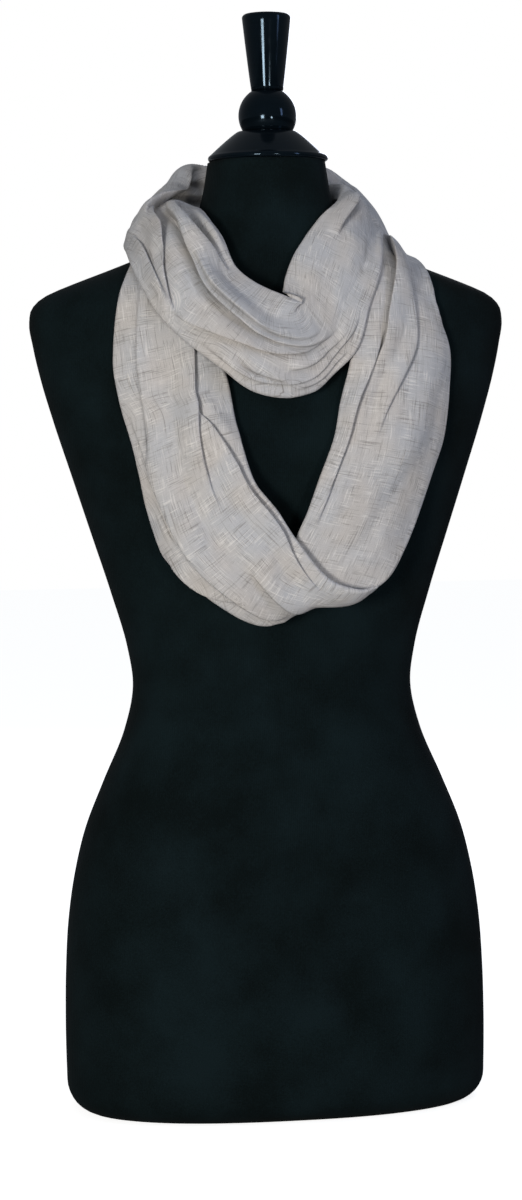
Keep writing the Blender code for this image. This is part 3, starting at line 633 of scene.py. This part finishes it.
def settledFace(form):
    rows = np.linspace(0, len(scarf["sections"]) - 1, laying["rows"])
    shares = np.tile(np.linspace(0, 1, laying["columns"]), (len(rows), 1))
    face = base = baseFace(rows, shares)
    room = hem["radius"] * (1 - math.cos(math.radians(hem["turn"]))) * laying["hemRoom"]
    onForm = room + scarf["wall"] / 2 + scarf["formGap"]
    onCloth = room + scarf["wall"] + scarf["clothGap"]
    for _ in range(laying["rounds"]):
        push = pushOff(face, form, onForm, laying["formReach"])
        face = face + softened(push, *laying["spread"])
    for upperFrom, upperTo, lowerFrom, lowerTo in scarf["overlaps"]:
        lower, upper = between(rows, lowerFrom, lowerTo), between(rows, upperFrom, upperTo)
        width = np.linalg.norm(face[:, -1] - face[:, 0], axis=1)[:, None]
        rises = foldFields(rows, shares, width)[0]
        outward = unitOf(np.cross(np.gradient(face, axis=0), unitOf(np.gradient(face, axis=1))))
        tree = treeOf((face + outward * np.clip(rises, 0, None)[..., None])[lower])
        for _ in range(laying["rounds"]):
            push = np.zeros_like(face)
            push[upper] = pushOff(face[upper], tree, onCloth, laying["clothReach"])
            face = face + softened(push, *laying["spread"])
    print("scarf laid on the form: moved up to", round(float(np.abs(face - base).max()), 1), "mm")
    return rows, shares[0], face


def finerFace(rows, shares, face, fineRows, fineShares):
    along = resampled(rows, face, fineRows)
    return np.array([smoothRows(shares, row, wanted) for row, wanted in zip(along, fineShares)])


def rippleAt(ripple, along, across):
    return noise.noise(Vector((along, across * ripple.across, ripple.layer)))


def wrinkles(length, across):
    rises = np.zeros_like(across)
    for i, j in np.ndindex(across.shape):
        u, v = length[i] / 1000, across[i, j] / 1000
        broad = rippleAt(broadRipple, u * broadRipple.along, v)
        long = rippleAt(longRipple, u * longRipple.along, v)
        cross = rippleAt(crossRipple, u * crossRipple.along + crossBend * broad, v)
        rises[i, j] = broadRipple.height * broad + longRipple.height * long + crossRipple.height * cross
    return rises


def rolledUnder(rows, grid, across, outward):
    nearV = np.exp(-((rows - neckline["section"]) / neckline["reach"]) ** 2)
    opened = (1 - hem["openAtV"] * nearV)[:, None]
    grown = hem["tipShare"] + (1 - hem["tipShare"]) * eased(rows / hem["tipLength"])
    radius = hem["radius"] * grown[:, None]
    nearNeck = np.exp(-((rows - hem["tuckedAt"]) / hem["tuckedReach"]) ** 2)
    tucked = radius * (1 - hem["tuckedFlat"] * nearNeck)[:, None]
    columns = [grid[:, j] for j in range(grid.shape[1])]
    for k in range(1, hem["columns"] + 1):
        turn = math.radians(hem["turn"]) * k / hem["columns"]
        inner = turn * opened
        columns.insert(0, grid[:, 0] - across[:, 0] * tucked * np.sin(inner)
                       - outward[:, 0] * tucked * (1 - np.cos(inner)))
        columns.append(grid[:, -1] + across[:, -1] * radius * math.sin(turn)
                       - outward[:, -1] * radius * (1 - math.cos(turn)))
    return np.stack(columns, axis=1)


def keptClear(rows, grid, form):
    # nothing dips into the form or the layer below
    onForm, onCloth = scarf["wall"] / 2 + scarf["formGap"], scarf["wall"] + scarf["clothGap"]
    grid = grid + pushOff(grid, form, onForm, laying["lastFormReach"])
    for upperFrom, upperTo, lowerFrom, lowerTo in scarf["overlaps"]:
        upper = between(rows, upperFrom, upperTo)
        tree = treeOf(grid[between(rows, lowerFrom, lowerTo)])
        for _ in range(laying["lastRounds"]):
            push = np.zeros_like(grid)
            push[upper] = pushOff(grid[upper], tree, onCloth, laying["lastClothReach"])
            size = np.maximum(np.abs(push), np.abs(softened(push, *laying["lastSpread"])))
            grid = grid + size * np.sign(push + 1e-12)
    return grid


def flattened(grid, flat, rounds):
    # the woven pattern lies flat: every step as long as it is on the cloth
    early, late, every = slice(None, -1), slice(1, None), slice(None)
    ends = [(early, every, late, every), (every, early, every, late),
            (early, early, late, late), (early, late, late, early)]
    lengths = [np.linalg.norm(grid[c, d] - grid[a, b], axis=2) for a, b, c, d in ends]
    links = np.zeros(grid.shape[:2])
    for a, b, c, d in ends:
        links[a, b] += 1
        links[c, d] += 1
    for _ in range(rounds):
        move = np.zeros_like(flat)
        for (a, b, c, d), length in zip(ends, lengths):
            step = flat[c, d] - flat[a, b]
            size = np.linalg.norm(step, axis=2)
            shift = step * (0.5 * (size - length) / np.maximum(size, 1e-6))[..., None]
            move[a, b] += shift
            move[c, d] -= shift
        flat = flat + flattening["haste"] * move / links[..., None]
    return flat


def flatPattern(grid, length):
    steps = np.linalg.norm(np.diff(grid, axis=1), axis=2)
    arc = np.concatenate([np.zeros((len(grid), 1)), np.cumsum(steps, axis=1)], axis=1)
    arc -= arc[:, arc.shape[1] // 2][:, None]
    flat = np.stack([np.repeat(length[:, None], arc.shape[1], axis=1), arc], axis=2)
    rowStep, columnStep = flattening["rowStep"], flattening["columnStep"]
    some = (slice(None, None, rowStep), slice(None, None, columnStep))
    shift = flattened(grid[some], flat[some], flattening["coarseRounds"]) - flat[some]
    shift = resampled(range(len(shift)), shift, np.arange(len(grid)) / rowStep).transpose(1, 0, 2)
    shift = resampled(range(len(shift)), shift, np.arange(grid.shape[1]) / columnStep)
    return flattened(grid, flat + shift.transpose(1, 0, 2), flattening["fineRounds"])


def loopGrid(form):
    coarseRows, coarseShares, coarse = settledFace(form)
    last = len(scarf["sections"]) - 1
    rows = np.linspace(0, last, last * scarf["stationsPerSection"] + 1)
    edges = finerFace(coarseRows, coarseShares, coarse, rows, np.tile([0.0, 1.0], (len(rows), 1)))
    width = np.linalg.norm(edges[:, 1] - edges[:, 0], axis=1)[:, None]
    shares = columnShares(rows, width)
    face = finerFace(coarseRows, coarseShares, coarse, rows, shares)
    rises, drifts, paintedCreaseShade = foldFields(rows, shares, width)
    middle = face[:, face.shape[1] // 2]
    length = np.concatenate([[0], np.cumsum(np.linalg.norm(np.diff(middle, axis=0), axis=1))])
    rises = rises + wrinkles(length, shares * width)
    across = unitOf(np.gradient(face, axis=1))
    outward = unitOf(np.cross(np.gradient(face, axis=0), across))
    outward = unitOf(softened(outward, *laying["outwardSpread"]))
    grid = face + outward * rises[..., None] + across * drifts[..., None]
    grid = keptClear(rows, rolledUnder(rows, grid, across, outward), form)
    paintedCreaseShade = np.pad(paintedCreaseShade, ((0, 0), (hem["columns"], hem["columns"])))
    return grid, length, flatPattern(grid, length), paintedCreaseShade


def wallNormals(grid):
    offCells = np.cross(grid[1:, 1:] - grid[:-1, :-1], grid[:-1, 1:] - grid[1:, :-1])
    outward = np.zeros_like(grid)
    for rowPart in (slice(None, -1), slice(1, None)):
        for columnPart in (slice(None, -1), slice(1, None)):
            outward[rowPart, columnPart] += unitOf(offCells)
    return unitOf(outward)


uvUnit = 100  # the map "cloth" counts in steps of 100 mm along and across the cloth laid flat


def clothPiece(name, node, grid, normals, flat, paintedCreaseShade, material):
    rows, columns = grid.shape[:2]
    half = normals * scarf["wall"] / 2
    points = np.concatenate([(grid + half).reshape(-1, 3), (grid - half).reshape(-1, 3)])
    count = rows * columns
    i, j = np.meshgrid(np.arange(rows - 1), np.arange(columns - 1), indexing="ij")
    corner = (i * columns + j).ravel()
    top = np.stack([corner, corner + columns, corner + columns + 1, corner + 1], axis=1)
    under = top[:, ::-1] + count
    rim = list(range(columns)) + [k * columns + columns - 1 for k in range(1, rows)]
    rim += [(rows - 1) * columns + k for k in range(columns - 2, -1, -1)]
    rim += [k * columns for k in range(rows - 2, 0, -1)]
    rim = np.array(rim)
    after = np.roll(rim, -1)
    side = np.stack([rim, after, after + count, rim + count], axis=1)
    faces = np.concatenate([top, under, side])
    mesh = smoothMesh(name, points, faces.tolist())
    uv = np.concatenate([flat.reshape(-1, 2)] * 2)
    layer = mesh.uv_layers.new(name="cloth")
    loops = np.empty(len(mesh.loops), np.int32)
    mesh.loops.foreach_get("vertex_index", loops)
    layer.data.foreach_set("uv", (uv[loops] / uvUnit).astype(np.float32).ravel())
    # painted crease shade: the cloth material reads this to darken its colour in the creases
    shade = mesh.attributes.new("crease", "FLOAT", "POINT")
    shade.data.foreach_set("value", np.tile(paintedCreaseShade.ravel(), 2).astype(np.float32))
    both = np.concatenate([normals.reshape(-1, 3), -normals.reshape(-1, 3)])
    mesh.normals_split_custom_set_from_vertices(both.tolist())
    print(name, len(faces) * 2, "triangles")
    return placePiece(mesh, material, node)


# materials

def wire(tree, node, inputs):
    for key, value in inputs.items():
        if isinstance(value, bpy.types.Node):
            value = value.outputs[0]
        if isinstance(value, bpy.types.NodeSocket):
            tree.links.new(value, node.inputs[key])
        else:
            node.inputs[key].default_value = linearColour(value) if isinstance(value, str) else value


def addNode(tree, kind, inputs=None, **settings):
    made = tree.nodes.new("ShaderNode" + kind)
    for key, value in settings.items():
        setattr(made, key, value)
    wire(tree, made, inputs or {})
    return made


def newMaterial(name):
    made = bpy.data.materials.new(name)
    made.use_nodes = True
    tree = made.node_tree
    return made, tree, tree.nodes["Principled BSDF"]


# Woven slub cotton, pale grey beige: matt, with windows of thin broken threads both ways,
# darker and whiter than the ground. Real threads are 0.3 mm, drawn 0.9 mm wide to show.
# Sizes are in mm. A thread starts where its noise reaches low and is full from high on.
Thread = namedtuple("Thread", "colour way spacing run low high strength patch offset")
slubCloth = {
    "ground": "#bbbab9", "warm": "#c6bcb3", "cool": "#afb3bc", "dark": "#77736f", "light": "#e2dfdb",
    "tintPatch": 48, "tintFrom": 0.38, "tintTo": 0.62, "tintShare": 0.35,
    "grain": 0.8, "grainDark": 0.90, "grainLight": 1.07, "waver": 0.52, "waverPatch": 22,
    "patchFrom": 0.45, "patchTo": 0.56, "patchStretch": 0.8, "patchFloor": 0.12, "creaseShade": 0.4,
    "weave": 0.9, "weaveHeight": 0.3, "bump": 0.3, "bumpDepth": 0.25,
    "threads": (
        Thread("dark", "along", 0.85, 36.0, 0.43, 0.35, 0.50, 14.0, 0.0),
        Thread("dark", "across", 0.85, 32.0, 0.43, 0.35, 0.50, 14.0, 0.0),
        Thread("dark", "across", 1.2, 80.0, 0.35, 0.30, 0.62, 30.0, 53.0),
        Thread("dark", "along", 1.2, 80.0, 0.35, 0.30, 0.62, 30.0, 91.0),
        Thread("light", "along", 0.95, 18.0, 0.57, 0.66, 0.50, 17.0, 31.0),
        Thread("light", "across", 0.95, 18.0, 0.57, 0.66, 0.50, 17.0, 31.0),
    ),
    "sockets": {"Roughness": 0.88, "IOR": 1.46, "Specular IOR Level": 0.2,
                "Sheen Weight": 0.08, "Sheen Roughness": 0.5},
}


def clothMaterial():
    look = slubCloth
    made, tree, shader = newMaterial("wovenSlubCotton")
    place = addNode(tree, "UVMap", uv_map="cloth")
    inMm = addNode(tree, "VectorMath", {0: place.outputs["UV"], "Scale": uvUnit}, operation="SCALE")
    wander = addNode(tree, "TexNoise", {"Vector": inMm, "Scale": 1 / look["waverPatch"], "Detail": 1.0})
    centred = addNode(tree, "VectorMath", {
        0: wander.outputs["Color"], 1: (0.5, 0.5, 0.5)}, operation="SUBTRACT")
    waver = addNode(tree, "VectorMath", {
        0: centred, 1: (look["waver"] * 3, look["waver"] * 3, 0), 2: inMm}, operation="MULTIPLY_ADD")
    broad = addNode(tree, "TexNoise", {"Vector": inMm, "Scale": 1 / look["tintPatch"], "Detail": 2.0})
    tint = addNode(tree, "MapRange", {0: broad, 1: look["tintFrom"], 2: look["tintTo"]})
    hue = addNode(tree, "Mix", {0: tint, 6: look["warm"], 7: look["cool"]}, data_type="RGBA")
    mixed = addNode(tree, "Mix", {
        0: look["tintShare"], 6: look["ground"], 7: hue.outputs[2]}, data_type="RGBA")
    fine = addNode(tree, "TexNoise", {"Vector": waver, "Scale": 1 / look["grain"], "Detail": 2.0})
    speck = addNode(tree, "MapRange", {
        0: fine, 1: 0.3, 2: 0.7, 3: look["grainDark"], 4: look["grainLight"]})
    ground = addNode(tree, "VectorMath", {0: mixed.outputs[2], "Scale": speck}, operation="SCALE")
    shown, height = ground, None
    for thread in look["threads"]:
        along = thread.way == "along"
        sizes = (thread.run, thread.spacing) if along else (thread.spacing, thread.run)
        moved = addNode(tree, "Mapping", {
            "Vector": waver, "Scale": (1 / sizes[0], 1 / sizes[1], 1),
            "Location": (thread.offset, thread.offset * 0.7, 0)})
        line = addNode(tree, "TexNoise", {
            "Vector": moved, "Scale": 1.0, "Detail": 1.0, "Roughness": 0.5})
        sharp = addNode(tree, "MapRange", {0: line, 1: thread.low, 2: thread.high})
        stretch = look["patchStretch"]
        patchAt = addNode(tree, "Mapping", {
            "Vector": inMm, "Location": (thread.offset * 3, thread.offset, 0),
            "Scale": (1.0, stretch, 1) if along else (stretch, 1.0, 1)})
        patch = addNode(tree, "TexNoise", {"Vector": patchAt, "Scale": 1 / thread.patch, "Detail": 1.0})
        where = addNode(tree, "MapRange", {
            0: patch, 1: look["patchFrom"], 2: look["patchTo"], 3: look["patchFloor"], 4: 1.0})
        amount = addNode(tree, "Math", {0: sharp, 1: where}, operation="MULTIPLY")
        share = addNode(tree, "Math", {0: amount, 1: thread.strength}, operation="MULTIPLY")
        layer = addNode(tree, "Mix", {0: share, 6: shown, 7: look[thread.colour]}, data_type="RGBA")
        shown = layer.outputs[2]
        if height is None:
            height = amount
        else:
            height = addNode(tree, "Math", {0: height, 1: amount}, operation="ADD")
    # painted shade: the cloth's colour is darkened down in a crease, as far as the painted crease shade
    # mask reaches
    crease = addNode(tree, "Attribute", attribute_name="crease")
    dim = addNode(tree, "Math", {
        0: crease.outputs["Fac"], 1: -look["creaseShade"], 2: 1.0}, operation="MULTIPLY_ADD")
    shaded = addNode(tree, "VectorMath", {0: shown, "Scale": dim}, operation="SCALE")
    # plain weave, its pitch three times the real one so that it shows
    weaveAt = addNode(tree, "VectorMath", {
        0: waver, "Scale": math.pi / look["weave"]}, operation="SCALE")
    parts = addNode(tree, "SeparateXYZ", {0: weaveAt})
    over = addNode(tree, "Math", {0: parts.outputs[0]}, operation="SINE")
    under = addNode(tree, "Math", {0: parts.outputs[1]}, operation="SINE")
    weave = addNode(tree, "Math", {0: over, 1: under}, operation="MULTIPLY")
    raised = addNode(tree, "Math", {
        0: weave, 1: look["weaveHeight"], 2: height}, operation="MULTIPLY_ADD")
    bump = addNode(tree, "Bump", {
        "Strength": look["bump"], "Distance": look["bumpDepth"] * mm, "Height": raised})
    wire(tree, shader, {"Base Color": shaded, "Normal": bump, **look["sockets"]})
    return made


# Cotton jersey, knitted: matt black with a faint rib of wales that catches the light.
# A wale is 0.6 mm wide on the real cover and 1.6 mm here, so that it shows. Sizes are in mm.
blackJersey = {
    "low": "#070f10", "high": "#101c1f", "lowUpTo": 0.55, "highFrom": 0.95,
    "patch": 60, "grain": 1.4, "grainShare": 0.5,
    "wale": 1.6, "course": 1.3, "courseHeight": 0.4, "bump": 0.25, "bumpDepth": 0.2,
    "sockets": {"Roughness": 0.9, "Specular IOR Level": 0.06,
                "Sheen Weight": 0.01, "Sheen Roughness": 0.5},
}


def jerseyMaterial():
    look = blackJersey
    made, tree, shader = newMaterial("blackKnitJersey")
    place = addNode(tree, "TexCoord")
    inMm = addNode(tree, "VectorMath", {0: place.outputs["Object"], "Scale": 1 / mm}, operation="SCALE")
    broad = addNode(tree, "TexNoise", {"Vector": inMm, "Scale": 1 / look["patch"], "Detail": 3.0})
    fine = addNode(tree, "TexNoise", {"Vector": inMm, "Scale": 1 / look["grain"], "Detail": 2.0})
    blend = addNode(tree, "Math", {0: fine, 1: look["grainShare"], 2: broad}, operation="MULTIPLY_ADD")
    ramp = addNode(tree, "MapRange", {0: blend, 1: look["lowUpTo"], 2: look["highFrom"]})
    colour = addNode(tree, "Mix", {0: ramp, 6: look["low"], 7: look["high"]}, data_type="RGBA")
    parts = addNode(tree, "SeparateXYZ", {0: inMm})
    wale = addNode(tree, "Math", {
        0: parts.outputs[0], 1: 2 * math.pi / look["wale"]}, operation="MULTIPLY")
    course = addNode(tree, "Math", {
        0: parts.outputs[2], 1: 2 * math.pi / look["course"]}, operation="MULTIPLY")
    ribs = addNode(tree, "Math", {0: wale}, operation="SINE")
    loops = addNode(tree, "Math", {0: course}, operation="SINE")
    knit = addNode(tree, "Math", {0: loops, 1: look["courseHeight"], 2: ribs}, operation="MULTIPLY_ADD")
    bump = addNode(tree, "Bump", {
        "Strength": look["bump"], "Distance": look["bumpDepth"] * mm, "Height": knit})
    wire(tree, shader, {"Base Color": colour.outputs[2], "Normal": bump, **look["sockets"]})
    return made


# Turned wood under black gloss lacquer: near black, sharp reflections, a trace of turning
# marks round the axis. Sizes are in mm.
gloss = {
    "low": "#03070a", "high": "#081016", "ring": 1.1, "ringStretch": 25, "wornPatch": 9,
    "roughLow": 0.06, "roughHigh": 0.14, "bump": 0.05, "bumpDepth": 0.2,
    "sockets": {"IOR": 1.5, "Specular IOR Level": 0.3, "Specular Tint": "#a9c6dd"},
}


def lacquerMaterial():
    look = gloss
    made, tree, shader = newMaterial("blackLacqueredWood")
    place = addNode(tree, "TexCoord")
    inMm = addNode(tree, "VectorMath", {0: place.outputs["Object"], "Scale": 1 / mm}, operation="SCALE")
    squashed = addNode(tree, "Mapping", {
        "Vector": inMm,
        "Scale": (1 / look["ringStretch"], 1 / look["ringStretch"], 1 / look["ring"])})
    rings = addNode(tree, "TexNoise", {"Vector": squashed, "Scale": 1.0, "Detail": 2.0})
    colour = addNode(tree, "Mix", {0: rings, 6: look["low"], 7: look["high"]}, data_type="RGBA")
    worn = addNode(tree, "TexNoise", {"Vector": inMm, "Scale": 1 / look["wornPatch"], "Detail": 3.0})
    rough = addNode(tree, "MapRange", {
        0: worn, 1: 0.3, 2: 0.7, 3: look["roughLow"], 4: look["roughHigh"]})
    bump = addNode(tree, "Bump", {
        "Strength": look["bump"], "Distance": look["bumpDepth"] * mm, "Height": rings})
    wire(tree, shader, {"Base Color": colour.outputs[2], "Roughness": rough,
                        "Normal": bump, **look["sockets"]})
    return made


# everything together

cloth, jersey, lacquer = clothMaterial(), jerseyMaterial(), lacquerMaterial()
formPoints, formFaces = makeDressForm(dressForm, jersey)
formTree = BVHTree.FromPolygons([tuple(p) for p in formPoints], formFaces)
turnedPiece("neckCapDisc", discProfile(neckCap), neckCap, lacquer, "cap_disc")
turnedPiece("neckCapBall", ballProfile(neckCap), neckCap, lacquer, "cap_ball")
turnedPiece("neckCapFinial", finialProfile(neckCap), neckCap, lacquer, "cap_finial")

grid, length, flat, paintedCreaseShade = loopGrid(formTree)
normals = wallNormals(grid)
for name, node, first, last in scarf["stretches"]:
    ends = [int(round(section * scarf["stationsPerSection"])) for section in (first, last)]
    cut = slice(ends[0], ends[1] + 1)
    piece = clothPiece(name, node, grid[cut], normals[cut], flat[cut], paintedCreaseShade[cut], cloth)


# camera, light and floor, in metres

photoView = {
    "azimuth": -9.0, "distance": 2.6, "height": 0.60, "tilt": 3.5, "roll": -0.7,
    "aside": -0.0083, "lens": 89.655,
}
# place, what it points at, size, power, colour
studioLights = {
    "keyLight": ((-1.3, -2.35, 0.48), (0, 0, 0.45), (0.5, 0.5), 41, "#fffbf5"),
    "frontLight": ((0.35, -2.7, 0.3), (0, 0, 0.42), (0.3, 0.3), 12, "#fffaf4"),
    "sideLight": ((1.9, -1.7, 1.3), (0, 0, 0.62), (0.3, 1.1), 8, "#c4d4ff"),
    "backLight": ((0.9, 2.4, 1.5), (0, 0, 0.6), (1.0, 1.0), 12, "#eef2ff"),
    "topLight": ((0.3, -0.5, 2.6), (0, 0, 0.72), (1.4, 1.2), 6, "#dfe6f8"),
}
paper = {"sky": "#e4ebf4", "skyPower": 0.22, "floorHalf": 8, "floorColour": "#f2f2f0",
         "floorGlow": 0.82, "floorSeen": "#8e8e8e"}


def makeCamera(view):
    turn, tilt, roll = (math.radians(view[key]) for key in ("azimuth", "tilt", "roll"))
    ahead = Vector((math.sin(-turn), math.cos(turn), 0))
    right = Vector((math.cos(turn), math.sin(turn), 0))
    place = -view["distance"] * ahead + view["aside"] * right + Vector((0, 0, view["height"]))
    look = ahead * math.cos(tilt) - Vector((0, 0, math.sin(tilt)))
    up = right.cross(look)
    rolledRight = right * math.cos(roll) + up * math.sin(roll)
    rolledUp = up * math.cos(roll) - right * math.sin(roll)
    data = bpy.data.cameras.new("photoCamera")
    data.lens, data.sensor_width, data.sensor_fit = view["lens"], 36, "AUTO"
    camera = bpy.data.objects.new("photoCamera", data)
    bpy.context.scene.collection.objects.link(camera)
    turned = Matrix((rolledRight, rolledUp, -look)).transposed().to_4x4()
    camera.matrix_world = Matrix.Translation(place) @ turned
    bpy.context.scene.camera = camera


def softbox(name, place, aim, size, power, colour):
    light = bpy.data.lights.new(name, "AREA")
    light.shape, light.size, light.size_y = "RECTANGLE", size[0], size[1]
    light.energy, light.color = power, linearColour(colour)[:3]
    thing = bpy.data.objects.new(name, light)
    bpy.context.scene.collection.objects.link(thing)
    thing.location = place
    thing.rotation_euler = (Vector(aim) - Vector(place)).to_track_quat("-Z", "Y").to_euler()
    return thing


def paperWhite(tree, output, shown, lit):
    # what the camera sees straight on stays white, and the rest of the scene sees a dimmer one
    ray = addNode(tree, "LightPath")
    both = addNode(tree, "MixShader", {0: ray.outputs["Is Camera Ray"], 1: lit, 2: shown})
    tree.links.new(both.outputs[0], output)


def makeWorld():
    world = bpy.data.worlds.new("studio")
    world.use_nodes = True
    sky = world.node_tree
    lit = sky.nodes["Background"]
    wire(sky, lit, {0: paper["sky"], 1: paper["skyPower"]})
    shown = addNode(sky, "Background", {0: "#ffffff", 1: 1.0})
    paperWhite(sky, sky.nodes["World Output"].inputs[0], shown, lit)
    bpy.context.scene.world = world


def makeFloor():
    half = paper["floorHalf"]
    mesh = bpy.data.meshes.new("floor")
    corners = [(-half, -half, 0), (half, -half, 0), (half, half, 0), (-half, half, 0)]
    mesh.from_pydata(corners, [], [(0, 1, 2, 3)])
    made, tree, shader = newMaterial("palePaper")
    wire(tree, shader, {"Base Color": paper["floorColour"], "Roughness": 0.9, "Specular IOR Level": 0.0,
                        "Emission Color": "#ffffff", "Emission Strength": paper["floorGlow"]})
    dimmer = addNode(tree, "BsdfDiffuse", {0: paper["floorSeen"]})
    paperWhite(tree, tree.nodes["Material Output"].inputs[0], shader, dimmer)
    mesh.materials.append(made)
    floor = bpy.data.objects.new("floor", mesh)
    bpy.context.scene.collection.objects.link(floor)


makeCamera(photoView)
lights = {name: softbox(name, *settings) for name, settings in studioLights.items()}
lights["topLight"].visible_glossy = False  # no window shape on the ball
makeWorld()
makeFloor()
bpy.context.scene.view_settings.view_transform = "Standard"
print("camera, lights and floor placed")
